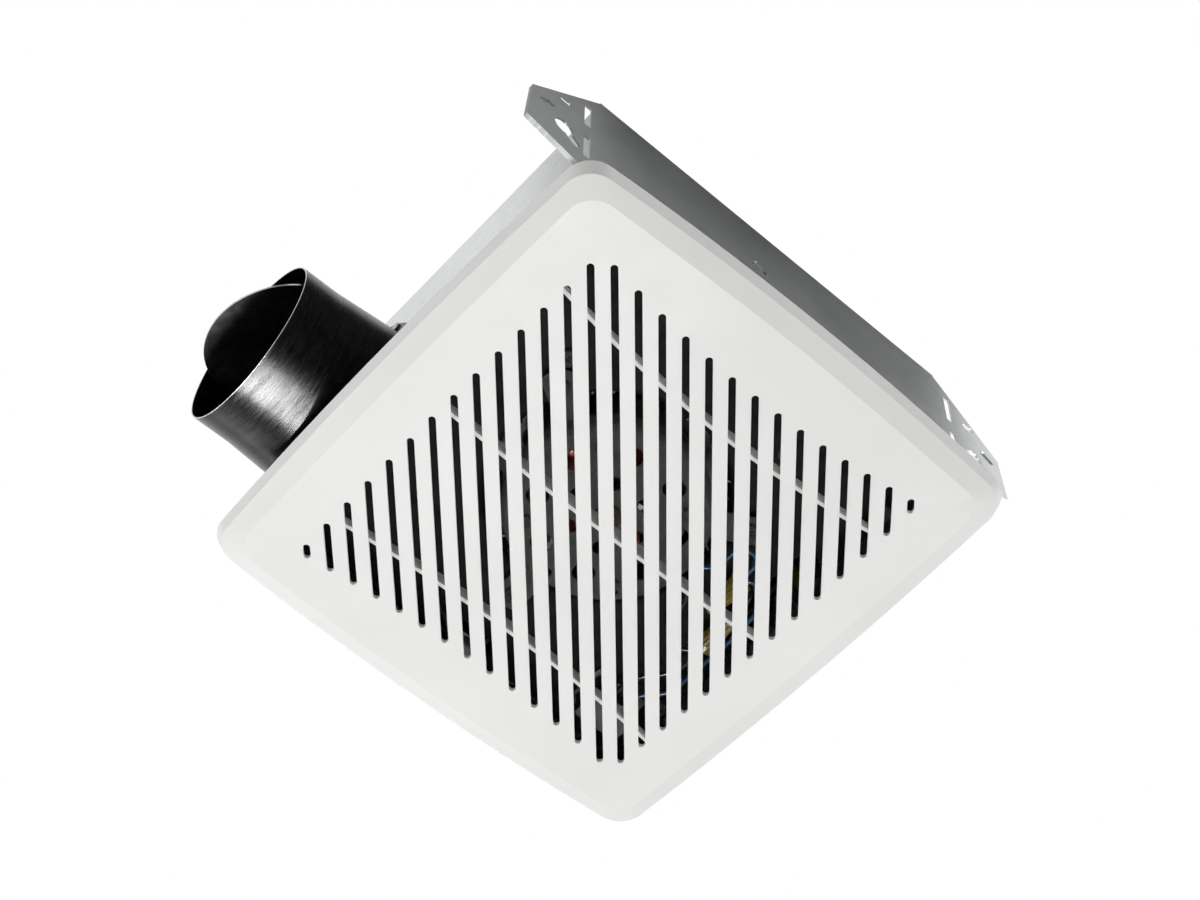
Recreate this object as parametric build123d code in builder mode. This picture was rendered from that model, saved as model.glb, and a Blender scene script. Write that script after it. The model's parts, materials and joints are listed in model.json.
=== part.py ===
from build123d import *
import math
import os

os.makedirs("parts", exist_ok=True)

# All lengths are in millimetres. X and Y lie along the grille's sides, Z points up into the
# ceiling, and the origin is the grille's centre in the plane of its rim.

# Grille
grille_width = 235.0
grille_length = 241.5
grille_bow_x = 3.2
grille_bow_y = 4.5
grille_corner = 13.0
grille_wall = 2.2
grille_lip_height = 6.0
grille_lip_draft = 2.0
bevel_run = 36.0
bevel_drop = 14.0
face_depth = 8.5
face_crown = 6.9
face_margin = 12.0
slot_count = 28
slot_pitch = 9.27
slot_width = 3.1
slot_angle = 47.5
slot_field_x = 86.2
slot_field_bulge = 3.1
slot_field_y = 101.0
slot_field_sink = 12.2
rib_thickness = 1.6
rib_reach = 77.5
rib_sink = 11.4
rib_recess = 1.5
rib_top = -4.5
rib_overhang = 6.0
stop_pad = 12.0
stop_pad_overlap = 3.0

# Housing
housing_width = 197.5
housing_length = 211.0
housing_bottom = 1.0
housing_top_height = 94.0
sheet = 0.8
fold_width = 8.0
tab_width = 10.0
tab_reach = 9.5
plate_screw_y_shares = ((1, 0.335), (1, -0.335), (-1, 0.455), (-1, -0.335))
knockout_radius = 11.0
bushing_bore = 8.0
bushing_flange = 2.0
bushing_rim = 2.2
bushing_reach = 4.0
bushing_barb = 0.5
knockout_y = -34.0
knockout_z = 52.0
moon_x = -9.0
moon_z = 61.5
moon_radius = 4.2
moon_slot_height = 2.6
press_depth = 0.9
press_rim = 0.8
rivet_shank = 1.3
rivet_head = 2.3
rivet_head_height = 1.0
rivet_edge = 0.5
rivet_upset = 1.9
rivet_inset = 4.5
rivet_row_share = 0.8
lid_bead_radius = 62.0
lid_bead_width = 7.0
lid_bead_height = 1.2
lid_bead_edge = 0.6

# Nailing ears, in the plane of one housing wall
ear_top_reach = 36.0
ear_top_drop = 33.0
ear_tip_extra = 1.6
ear_tip_height = 31.0
ear_root_height = 20.0
ear_lip = 2.2
ear_hole_reach = 18.5
ear_hole_z = 69.3
ear_hole_length = 6.4
ear_hole_width = 3.2
ear_slot_reach = 6.6
ear_slot_width = 3.6
ear_slot_length = 18.0
ear_slot_high_z = 71.5
ear_slot_low_z = 43.0
keyhole_reach = 18.8
keyhole_z = 45.0
keyhole_radius = 4.8
keyhole_neck = 5.0
keyhole_run = 11.5
keyhole_angle = -48.0
dimple_reach = 28.0
dimple_z = 55.0
dimple_length = 8.0
dimple_width = 3.6
dimple_angle = -28.0

# Duct collar
collar_y = 58.0
collar_z = 44.5
collar_root_radius = 41.4
collar_mouth_radius = 39.0
collar_wall = 0.6
collar_length = 52.0
collar_spigot = 18.0
flange_radius = 47.0
flange_rivet_radius = 44.4
flange_rivet_angles = (45, 135, 225, 315)

# Damper flap
flap_radius = 33.5
flap_sheet = 0.8
flap_drop = 36.5
flap_pin_z = 75.0
flap_pin_offset = 2.95
flap_open = 68.0
flap_neck = 30.0
flap_neck_length = 18.0
knuckle_radius = 1.8
pin_radius = 1.0
pin_chamfer = 0.25
bracket_half_width = 20.0
bracket_low = 72.5
bracket_fold = 77.3
bracket_high = 79.0
lug_reach = 5.0
seal_width = 2.0
outlet_width = 47.0
outlet_bottom = 20.4
outlet_top = 57.5
running_gap = 0.05
seat_gap = 0.3

# Blower plate and scroll
axis_x = 3.0
axis_y = 3.0
plate_bottom = 18.0
plate_sheet = 1.0
plate_gap = 0.75
inlet_radius = 52.5
bell_radius = 4.0
spring_slot_length = 40.0
spring_slot_width = 9.4
wiring_cut_width = 12.0
wiring_cut_length = 58.0
wiring_cut_y = -6.0
wiring_cut_inset = 3.0
scroll_sheet = 1.0
scroll_top = 72.0
scroll_inner_radius = 61.0
scroll_outer_radius = 84.0
tongue_angle = 152.0
outlet_angle = 450.0
spiral_steps = 6
foot_size = 12.0
foot_reach = 11.0
foot_angles = (215, 300, 380)

# Blower wheel
wheel_radius = 57.0
wheel_inner_radius = 49.0
wheel_bottom = 24.6
wheel_top = 64.0
wheel_plate = 1.6
ring_height = 2.6
ring_width = 3.0
ring_overhang = 1.0
blade_count = 36
blade_sheet = 1.1
blade_lean = 8.0
blade_belly_share = 0.3
hub_radius = 8.0
hub_bottom = 56.5
hub_top = 67.5

# Motor
cup_radius = 45.0
cup_bottom = 6.0
cup_rim = 15.0
cup_sheet = 1.0
cup_corner = 3.5
# Each row of the cup's holes: its circle's radius, the hole's radius, their number, the first angle
cup_hole_rows = ((31.0, 5.0, 8, 22.5), (39.0, 2.2, 8, 0.0), (16.5, 3.4, 6, 0.0))
arm_angles = (90, 210, 330)
arm_width = 14.0
arm_corner = 4.5
arm_end = 69.0
arm_start = 42.0
arm_screw_radius = 61.5
lead_slot_width = 16.0
lead_slot_height = 5.0
grommet_radius = 4.8
small_screw = 2.0
small_head = 3.9
small_head_height = 2.2
cross_width = 0.8
screw_point = 3.4
screw_gap = 0.3
shaft_radius = 3.0
shaft_bottom = 3.4
shaft_top = 71.0
shaft_chamfer = 0.6
bush_radius = 6.0
bush_flange_radius = 9.0
bush_flange = 1.5
bush_length = 10.0
core_bottom = 22.0
core_top = 42.0
core_radius = 38.0
core_bore_radius = 31.0
core_rotor_gap = 0.5
pole_width = 12.0
pole_angles = (0, 90, 180, 270)
pole_start = 13.7
bobbin_start = 16.0
bobbin_end = 29.6
bobbin_wall = 1.0
bobbin_flange = 11.5
bobbin_end_flange = 9.0
coil_overhang = 5.0
coil_gap = 0.05
coil_inset = 0.5
coil_corner = 4.4
rotor_bottom = 21.0
rotor_top = 43.0
rotor_ring_radius = 11.5
rotor_ring = 2.5
washer_radius = 6.0
washer_gap = 0.3
bolt_circle = 34.5
bolt_angles = (45, 135, 225, 315)
bolt_radius = 1.6
bolt_head = 3.2
bolt_head_height = 2.4
sleeve_radius = 3.0
bridge_bottom = 48.0
bridge_sheet = 1.2
bridge_arm = 11.0
bridge_corner = 3.6
bridge_hub = 13.0
nut_height = 2.6
clip_radius = 6.2
clip_height = 2.0

# Grille springs
spring_y = 97.0
spring_z = 2.0
spring_pin_radius = 3.0
spring_pin_gap = 0.4
spring_wire = 0.8
spring_mean_radius = 4.3
spring_ring_half = 0.95
spring_ring_radius = 5.25
spring_coil_length = 3.4
spring_leg_length = 66.0
spring_leg_angle = 26.0
spring_hook = 4.5
spring_hook_bend = 2.5
cheek_sheet = 2.0
cheek_width = 12.0
cheek_corner = 4.0
cheek_gap = 0.25
cheek_margin = 3.0
pin_overhang = 1.0
turn_gap = 0.15

# Wiring
lead_radius = 1.1
lead_gap = 0.05
nut_radius = 5.2
nut_tip_radius = 2.8
nut_length = 20.0
nut_depth = 12.0
lead_level = 10.0

# Each nut's mouth and the direction from its mouth to its tip
nut_mouths = (
    ((70.0, -8.0, lead_level), (0, 1, 0)),
    ((81.0, 28.0, lead_level), (0, -1, 0)),
    ((87.0, 2.0, 40.0), (0, 0, 1)),
    ((91.0, -12.0, 40.0), (0, 0, 1)),
    ((90.0, 16.0, 72.0), (0, -1, 0)),
)

# Each lead's points, then the bend radius at each inner point
leads = {
    "motor_lead_blue": (
        ((26, -1, 17), (26, -1, 10), (57, -1, 10), (57, -22, 10), (68.85, -22, 10), (68.85, 0, 10)),
        (6, 10, 5.9, 5.9),
    ),
    "motor_lead_black": (
        ((26, 7, 17), (26, 7, 10), (60, 7, 10), (60, 36, 10), (79.85, 36, 10), (79.85, 20, 10)),
        (6, 14, 12, 7.5),
    ),
    "plug_lead_blue": (
        (
            (71.15, 0, 10),
            (71.15, -14, 10),
            (86, -3, 10),
            (88, 20, 10),
            (88, 58, 10),
            (78, 66, 10),
            (78, 73.5, 10),
        ),
        (3, 15, 40, 13, 13),
    ),
    "plug_lead_black": (
        ((82.15, 20, 10), (82.15, 48, 10), (70, 60, 10), (70, 73.5, 10)),
        (20, 20),
    ),
    "receptacle_lead_white": (
        ((70, 73.5, 24), (70, 60, 24), (88.15, 42, 24), (88.15, 2, 24), (88.15, 2, 48)),
        (20, 20, 14),
    ),
    "receptacle_lead_black": (
        ((77, 73.5, 27), (77, 62, 27), (92.15, 46, 27), (92.15, -12, 27), (92.15, -12, 48)),
        (18, 20, 11),
    ),
    "ground_lead": (
        ((96.85, 37.9, 72), (96.85, 30, 72), (91.15, 22, 72), (91.15, 8, 72)),
        (10, 10),
    ),
}
plug_x = 73.0
plug_y = 82.0
plug_width = 20.0
plug_length = 13.0
plug_bottom = 5.0
plug_lip = 2.0
receptacle_height = 11.0
receptacle_wall = 2.0
receptacle_lip = 2.2
ground_y = 42.0
ground_z = 72.0
ring_end_radius = 4.7

# Cuts run past what they cut by this much
overrun = 2.0

# Sizes that follow from the ones above
half_width = housing_width / 2
half_length = housing_length / 2
inner_width = housing_width - 2 * sheet
inner_length = housing_length - 2 * sheet
wall_top = housing_top_height - sheet
wall_height = wall_top - housing_bottom
plate_top = plate_bottom + plate_sheet
pin_x = -half_width - flap_pin_offset
fan_axis = Plane((axis_x, axis_y, 0))


def level(height):
    """The horizontal plane at a height."""
    return Plane.XY.offset(height)


def fan_level(height):
    """The horizontal plane at a height, centred on the fan's axis."""
    return fan_axis.offset(height)


def wall_plane(x):
    """The plane square to X whose own X runs along +Y and own Y along +Z."""
    return Plane((x, 0, 0), x_dir=(0, 1, 0), z_dir=(1, 0, 0))


def side_plane(y):
    """The plane square to Y, facing -Y, whose own X runs along +X and own Y along +Z."""
    return Plane((0, y, 0), x_dir=(1, 0, 0), z_dir=(0, -1, 0))


def grille_outline(height, inset, corner):
    """The grille's outline at a height: four sides that bow outwards, with round corners."""
    half_x = grille_width / 2 - inset
    half_y = grille_length / 2 - inset
    with BuildSketch(level(height)) as outline:
        with BuildLine():
            ThreePointArc((-half_x, -half_y), (0, -half_y - grille_bow_y), (half_x, -half_y))
            ThreePointArc((half_x, -half_y), (half_x + grille_bow_x, 0), (half_x, half_y))
            ThreePointArc((half_x, half_y), (0, half_y + grille_bow_y), (-half_x, half_y))
            ThreePointArc((-half_x, half_y), (-half_x - grille_bow_x, 0), (-half_x, -half_y))
        make_face()
        fillet(outline.vertices(), corner)
    return outline.sketch


def above_face(rise):
    """Everything above the grille's crowned face, moved up by a rise."""
    half_x = grille_width / 2 + face_margin
    half_y = grille_length / 2 + face_margin
    end_x = 1 - (2 * half_x / grille_width) ** 2
    end_y = 1 - (2 * half_y / grille_length) ** 2
    rows = ((-half_x, end_x), (0, 2 - end_x), (half_x, end_x))
    columns = ((-half_y, end_y), (0, 2 - end_y), (half_y, end_y))
    net = [
        [(x, y, rise - face_depth - face_crown * fx * fy) for y, fy in columns]
        for x, fx in rows
    ]
    face = Face.make_bezier_surface(net)
    return extrude(face, amount=housing_top_height, dir=(0, 0, 1), mode=Mode.PRIVATE)


def line_meets_side(start, direction, side, along):
    """How far along a slot's line a bowed side of the slot field lies."""
    if along == 0:
        edge, bulge, half = slot_field_x, slot_field_bulge, grille_length / 2
    else:
        edge, bulge, half = slot_field_y, -slot_field_sink, grille_width / 2
    across = 1 - along
    bend = side * bulge / half**2
    a = bend * direction[across] ** 2
    b = direction[along] + 2 * bend * start[across] * direction[across]
    c = start[along] - side * (edge + bulge) + bend * start[across] ** 2
    return -2 * c / (b + math.sqrt(b**2 - 4 * a * c))


def slot_lines():
    """The middle and the length of every slot in the grille's face."""
    turn = math.radians(slot_angle)
    direction = (math.cos(turn), math.sin(turn))
    lines = []
    for index in range(slot_count):
        offset_from_middle = (index - (slot_count - 1) / 2) * slot_pitch
        start = (math.sin(turn) * offset_from_middle, -math.cos(turn) * offset_from_middle)
        first, last = (0, 1) if offset_from_middle < 0 else (1, 0)
        low = line_meets_side(start, direction, -1, first)
        high = line_meets_side(start, direction, 1, last)
        middle = (low + high) / 2
        place = (start[0] + direction[0] * middle, start[1] + direction[1] * middle)
        lines.append((place, high - low))
    return lines


def rib_outline(row):
    """One rib behind the face, in plan: straight in the middle row, bowed in the others."""
    reach = slot_field_x + slot_field_bulge + rib_overhang
    if row == 0:
        Rectangle(2 * reach, rib_thickness)
        return
    edges = []
    for side in (-1, 1):
        middle = row * (rib_reach - rib_sink) + side * rib_thickness / 2
        end = middle + row * rib_sink * (2 * reach / grille_width) ** 2
        edges.append(((-reach, end), (0, middle), (reach, end)))
    with BuildLine() as border:
        ThreePointArc(*edges[0])
        Line(edges[0][2], edges[1][2])
        ThreePointArc(*edges[1])
        Line(edges[1][0], edges[0][0])
    make_face(border.line)


# Grille
with BuildPart() as grille_inside:
    inner_corner = grille_corner - grille_wall
    lip_inset = grille_lip_draft + grille_wall
    inner_sections = [
        grille_outline(overrun, grille_wall, inner_corner),
        grille_outline(-grille_lip_height + grille_wall / 2, lip_inset, inner_corner),
        grille_outline(-grille_lip_height - bevel_drop + grille_wall, lip_inset + bevel_run, inner_corner),
    ]
    loft(inner_sections, ruled=True)
    add(above_face(grille_wall), mode=Mode.INTERSECT)

with BuildPart() as grille_backing:
    with BuildSketch(level(-face_depth - face_crown)):
        for row in (-1, 0, 1):
            rib_outline(row)
    extrude(amount=face_depth + face_crown + rib_top)
    with BuildSketch(level(-face_depth - face_crown)):
        with GridLocations(
            housing_width - stop_pad + 2 * stop_pad_overlap,
            housing_length - stop_pad + 2 * stop_pad_overlap,
            2,
            2,
        ):
            Rectangle(stop_pad, stop_pad)
    extrude(amount=face_depth + face_crown + housing_bottom)
    ring_room = 2 * spring_ring_half + 2 * turn_gap + cheek_gap
    cheek_place = spring_coil_length / 2 + ring_room + cheek_sheet / 2
    with BuildSketch(level(-face_depth - face_crown)):
        with Locations((0, -spring_y), (0, spring_y)):
            with Locations((0, -cheek_place), (0, cheek_place)):
                Rectangle(cheek_width, cheek_sheet)
    extrude(amount=face_depth + face_crown + spring_z + spring_pin_radius + cheek_margin)
    cheek_tops = (
        grille_backing.faces()
        .filter_by(Axis.Z)
        .filter_by(lambda face: face.center().Z > spring_z)
        .edges()
        .filter_by(Axis.Y)
    )
    fillet(cheek_tops, cheek_corner)
    with BuildSketch(side_plane(0)):
        with Locations((0, spring_z)):
            Circle(spring_pin_radius + running_gap)
    extrude(amount=grille_length, both=True, mode=Mode.SUBTRACT)
    add(above_face(rib_recess), mode=Mode.INTERSECT)

with BuildPart() as grille:
    outer_sections = [
        grille_outline(0, 0, grille_corner),
        grille_outline(-grille_lip_height, grille_lip_draft, grille_corner),
        grille_outline(-grille_lip_height - bevel_drop, grille_lip_draft + bevel_run, grille_corner),
    ]
    loft(outer_sections, ruled=True)
    add(above_face(0), mode=Mode.INTERSECT)
    add(grille_inside.part, mode=Mode.SUBTRACT)
    with BuildSketch(level(-face_depth - face_crown - overrun)):
        for place, length in slot_lines():
            with Locations(place):
                SlotOverall(length, slot_width, rotation=slot_angle)
    extrude(amount=face_depth + face_crown + overrun, mode=Mode.SUBTRACT)
    add(grille_backing.part)
grille.part.label = "grille"
export_step(grille.part, "parts/grille.step")

# Housing walls, with the nailing ears on the wall at -Y
rivet_places = [
    (side_x * (half_width - rivet_inset), share * half_length)
    for side_x in (-1, 1)
    for share in (-rivet_row_share, 0, rivet_row_share)
] + [(0, side_y * (half_length - rivet_inset)) for side_y in (-1, 1)]
plate_screw_places = [
    (side * (inner_width / 2 - tab_reach / 2), share * housing_length)
    for side, share in plate_screw_y_shares
]
outlet_middle = (outlet_bottom + outlet_top) / 2
outlet_height = outlet_top - outlet_bottom


def ear_corners(side):
    """One nailing ear's corners seen square to its wall, from the housing's top outwards."""
    return [
        (side * (half_width - sheet), wall_top),
        (side * half_width, wall_top),
        (side * (half_width + ear_top_reach), wall_top - ear_top_drop),
        (side * (half_width + ear_top_reach + ear_tip_extra), ear_tip_height),
        (side * half_width, ear_root_height),
        (side * (half_width - sheet), ear_root_height),
    ]


def pressed_shapes(rim):
    """The two dimples and the half moon that are pressed into the wall, grown by a rim."""
    for side in (-1, 1):
        with Locations((side * (half_width + dimple_reach), dimple_z)):
            SlotOverall(dimple_length + 2 * rim, dimple_width + 2 * rim, rotation=side * dimple_angle)
    with Locations((moon_x, moon_z)):
        Circle(moon_radius + rim)
        with Locations((0, -moon_radius - rim)):
            Rectangle(2 * moon_radius + 2 * rim, 2 * moon_radius, mode=Mode.SUBTRACT)


with BuildPart() as housing_shell:
    with BuildSketch(level(housing_bottom)):
        Rectangle(housing_width, housing_length)
        Rectangle(inner_width, inner_length, mode=Mode.SUBTRACT)
    extrude(amount=wall_height)
    with BuildSketch(level(wall_top - sheet)):
        Rectangle(housing_width, housing_length)
        Rectangle(housing_width - 2 * fold_width, housing_length - 2 * fold_width, mode=Mode.SUBTRACT)
    extrude(amount=sheet)
    with BuildSketch(side_plane(-half_length + sheet)):
        for side in (-1, 1):
            Polygon(*ear_corners(side), align=None)
    extrude(amount=sheet)
    with BuildSketch(side_plane(-half_length + ear_lip)):
        for side in (-1, 1):
            corners = ear_corners(side)
            for start, end in zip(corners[2:4], corners[3:5]):
                inner_end = (end[0] - side * sheet, end[1] + sheet)
                inner_start = (start[0] - side * sheet, start[1] + sheet)
                Polygon(start, end, inner_end, inner_start, align=None)
    extrude(amount=ear_lip)
    with BuildSketch(side_plane(-half_length + sheet + press_depth)):
        pressed_shapes(press_rim)
    extrude(amount=press_depth)
    with BuildSketch(side_plane(-half_length + press_depth)):
        pressed_shapes(0)
    extrude(amount=press_depth, mode=Mode.SUBTRACT)
    with BuildSketch(side_plane(-half_length + sheet + press_depth)):
        for side in (-1, 1):
            with Locations((side * (half_width + ear_hole_reach), ear_hole_z)):
                SlotOverall(ear_hole_length, ear_hole_width)
            with Locations(
                (side * (half_width + ear_slot_reach), ear_slot_high_z),
                (side * (half_width + ear_slot_reach), ear_slot_low_z),
            ):
                Rectangle(ear_slot_width, ear_slot_length)
            with Locations((side * (half_width + keyhole_reach), keyhole_z)):
                Circle(keyhole_radius)
            turn = math.radians(keyhole_angle)
            neck_x = half_width + keyhole_reach - math.cos(turn) * keyhole_run / 2
            neck_z = keyhole_z + math.sin(turn) * keyhole_run / 2
            with Locations((side * neck_x, neck_z)):
                SlotOverall(keyhole_run, keyhole_neck, rotation=-side * keyhole_angle)
        with Locations((moon_x, moon_z - moon_slot_height / 2)):
            SlotOverall(2 * moon_radius, moon_slot_height)
    extrude(amount=sheet + press_depth, mode=Mode.SUBTRACT)
    with BuildSketch(wall_plane(-half_width)):
        with Locations((collar_y, outlet_middle)):
            Rectangle(outlet_width, outlet_height)
    extrude(amount=sheet, mode=Mode.SUBTRACT)
    with BuildSketch(wall_plane(half_width - sheet)):
        with Locations((knockout_y, knockout_z)):
            Circle(knockout_radius)
        with Locations((ground_y, ground_z)):
            Circle(small_screw + running_gap)
    extrude(amount=sheet, mode=Mode.SUBTRACT)
    with BuildSketch(level(plate_top)):
        with Locations(*plate_screw_places):
            Rectangle(tab_reach, tab_width)
    extrude(amount=sheet)
    with BuildSketch(level(plate_top)):
        with Locations(*plate_screw_places):
            Circle(small_screw + running_gap)
    extrude(amount=sheet, mode=Mode.SUBTRACT)
    with BuildSketch(level(wall_top - sheet)):
        with Locations(*rivet_places):
            Circle(rivet_shank + running_gap)
    extrude(amount=sheet, mode=Mode.SUBTRACT)
    rivet_holes = [
        (
            collar_y + flange_rivet_radius * math.cos(math.radians(angle)),
            collar_z + flange_rivet_radius * math.sin(math.radians(angle)),
        )
        for angle in flange_rivet_angles
    ]
    with BuildSketch(wall_plane(-half_width)):
        with Locations(*rivet_holes):
            Circle(rivet_shank + running_gap)
    extrude(amount=sheet, mode=Mode.SUBTRACT)
housing_shell.part.label = "housing_shell"
export_step(housing_shell.part, "parts/housing_shell.step")

# Lid of the housing, with a round stiffening bead
with BuildPart() as housing_top:
    with BuildSketch(level(wall_top)):
        Rectangle(housing_width, housing_length)
        with Locations(*rivet_places):
            Circle(rivet_shank + running_gap, mode=Mode.SUBTRACT)
    extrude(amount=sheet)
    with BuildSketch(level(wall_top + sheet)):
        Circle(lid_bead_radius + lid_bead_width / 2)
        Circle(lid_bead_radius - lid_bead_width / 2, mode=Mode.SUBTRACT)
    extrude(amount=lid_bead_height)
    bead_edges = housing_top.edges().filter_by(GeomType.CIRCLE).group_by(Axis.Z)[-1]
    fillet(bead_edges, lid_bead_edge)
    with BuildSketch(level(wall_top)):
        Circle(lid_bead_radius + lid_bead_width / 2 - sheet)
        Circle(lid_bead_radius - lid_bead_width / 2 + sheet, mode=Mode.SUBTRACT)
    extrude(amount=lid_bead_height, mode=Mode.SUBTRACT)
housing_top.part.label = "housing_top"
export_step(housing_top.part, "parts/housing_top.step")


def rivet(plane, grip):
    """A rivet whose formed head stands on a plane, gripping the sheets below it."""
    with BuildSketch(plane) as head:
        Circle(rivet_head)
    extrude(head.sketch, amount=rivet_head_height)
    with BuildSketch(plane) as shank:
        Circle(rivet_shank)
    extrude(shank.sketch, amount=-grip)
    with BuildSketch(plane.offset(-grip)) as upset:
        Circle(rivet_upset)
    extrude(upset.sketch, amount=-rivet_head_height)


with BuildPart() as housing_rivets:
    for place in rivet_places:
        rivet(Plane((place[0], place[1], housing_top_height)), 2 * sheet)
    rivet_rims = housing_rivets.edges().filter_by(GeomType.CIRCLE).group_by(Axis.Z)[-1]
    fillet(rivet_rims, rivet_edge)
housing_rivets.part.label = "housing_rivets"
export_step(housing_rivets.part, "parts/housing_rivets.step")

# Duct collar: a flange on the wall, a cone, then a straight spigot for the duct
collar_axis = Plane((-half_width, collar_y, collar_z), x_dir=(0, 1, 0), z_dir=(-1, 0, 0))
cone_length = collar_length - collar_spigot
with BuildPart() as duct_collar:
    with BuildSketch(collar_axis):
        Circle(collar_root_radius)
    with BuildSketch(collar_axis.offset(cone_length)):
        Circle(collar_mouth_radius)
    loft()
    with BuildSketch(collar_axis.offset(cone_length)):
        Circle(collar_mouth_radius)
    extrude(amount=collar_spigot)
    with BuildSketch(collar_axis):
        Circle(flange_radius)
    extrude(amount=collar_wall)
    with BuildSketch(collar_axis):
        Circle(collar_root_radius - collar_wall)
    with BuildSketch(collar_axis.offset(cone_length)):
        Circle(collar_mouth_radius - collar_wall)
    loft(mode=Mode.SUBTRACT)
    with BuildSketch(collar_axis.offset(cone_length)):
        Circle(collar_mouth_radius - collar_wall)
    extrude(amount=collar_spigot, mode=Mode.SUBTRACT)
    with BuildSketch(wall_plane(-half_width - collar_wall)):
        with Locations(*rivet_holes):
            Circle(rivet_shank + running_gap)
    extrude(amount=collar_wall, mode=Mode.SUBTRACT)
    with BuildSketch(wall_plane(-half_width - collar_length)):
        with Locations((0, (housing_bottom + wall_top) / 2)):
            Rectangle(housing_length, wall_height)
    extrude(amount=collar_length, mode=Mode.INTERSECT)
duct_collar.part.label = "duct_collar"
export_step(duct_collar.part, "parts/duct_collar.step")

with BuildPart() as collar_rivets:
    for y, z in rivet_holes:
        plane = Plane((-half_width - collar_wall, y, z), x_dir=(0, 1, 0), z_dir=(-1, 0, 0))
        rivet(plane, collar_wall + sheet)
collar_rivets.part.label = "collar_rivets"
export_step(collar_rivets.part, "parts/collar_rivets.step")

# Damper: bracket on the wall above the outlet, pin, flap and seal
with BuildPart() as damper_bracket:
    with BuildSketch(wall_plane(-half_width - sheet)):
        with Locations((collar_y, (bracket_fold + bracket_high) / 2)):
            Rectangle(2 * bracket_half_width, bracket_high - bracket_fold)
    extrude(amount=sheet)
    with BuildSketch(wall_plane(-half_width - lug_reach)):
        with Locations((collar_y, (bracket_low + bracket_high) / 2)):
            Rectangle(2 * bracket_half_width, bracket_high - bracket_low)
            Rectangle(
                2 * bracket_half_width - 2 * sheet, bracket_high - bracket_low, mode=Mode.SUBTRACT
            )
    extrude(amount=lug_reach)
    with BuildSketch(side_plane(collar_y)):
        with Locations((pin_x, flap_pin_z)):
            Circle(pin_radius + running_gap)
    extrude(amount=bracket_half_width + overrun, both=True, mode=Mode.SUBTRACT)
damper_bracket.part.label = "damper_bracket"
export_step(damper_bracket.part, "parts/damper_bracket.step")

with BuildPart() as damper_pin:
    with BuildSketch(side_plane(collar_y)):
        with Locations((pin_x, flap_pin_z)):
            Circle(pin_radius)
    extrude(amount=bracket_half_width + sheet, both=True)
    pin_ends = damper_pin.edges().filter_by(GeomType.CIRCLE)
    chamfer(pin_ends, pin_chamfer)
damper_pin.part.label = "damper_pin"
export_step(damper_pin.part, "parts/damper_pin.step")

# The flap hangs on its pin in a frame of its own: own Y down along the flap, own Z outwards
flap_turn = math.radians(flap_open)
flap_down = (-math.sin(flap_turn), 0, -math.cos(flap_turn))
flap_plane = Plane(
    (pin_x, collar_y, flap_pin_z),
    x_dir=(0, 1, 0),
    z_dir=Vector(0, 1, 0).cross(Vector(*flap_down)),
)
with BuildPart() as damper_flap:
    with BuildSketch(flap_plane.offset(-flap_sheet / 2)):
        with Locations((0, flap_drop)):
            Circle(flap_radius)
        with Locations((0, flap_neck_length / 2)):
            Rectangle(flap_neck, flap_neck_length)
    extrude(amount=flap_sheet)
    with BuildSketch(side_plane(collar_y)):
        with Locations((pin_x, flap_pin_z)):
            Circle(knuckle_radius)
    extrude(amount=flap_neck / 2, both=True)
    with BuildSketch(side_plane(collar_y)):
        with Locations((pin_x, flap_pin_z)):
            Circle(pin_radius + running_gap)
    extrude(amount=flap_neck, both=True, mode=Mode.SUBTRACT)
damper_flap.part.label = "damper_flap"
export_step(damper_flap.part, "parts/damper_flap.step")

seal_height = flap_pin_offset - flap_sheet / 2 - seat_gap
with BuildPart() as outlet_seal:
    with BuildSketch(wall_plane(-half_width - seal_height)):
        with Locations((collar_y, outlet_middle)):
            Rectangle(outlet_width + 2 * seal_width, outlet_height + 2 * seal_width)
            Rectangle(outlet_width, outlet_height, mode=Mode.SUBTRACT)
    extrude(amount=seal_height)
outlet_seal.part.label = "outlet_seal"
export_step(outlet_seal.part, "parts/outlet_seal.step")

# Blower plate with its inlet bell
wiring_cut_x = half_width - sheet - wiring_cut_inset - wiring_cut_width / 2


def polar(radius, angle):
    """A place in plan at a radius and an angle in degrees."""
    turn = math.radians(angle)
    return (radius * math.cos(turn), radius * math.sin(turn))


def around_axis(radius, angle):
    """A place in plan at a radius and an angle round the fan's axis."""
    x, y = polar(radius, angle)
    return (axis_x + x, axis_y + y)


def spiral_radius(angle):
    """Distance from the fan's axis to the scroll's inner face at an angle in degrees."""
    share = (angle - tongue_angle) / (outlet_angle - tongue_angle)
    return scroll_inner_radius + (scroll_outer_radius - scroll_inner_radius) * share


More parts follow.
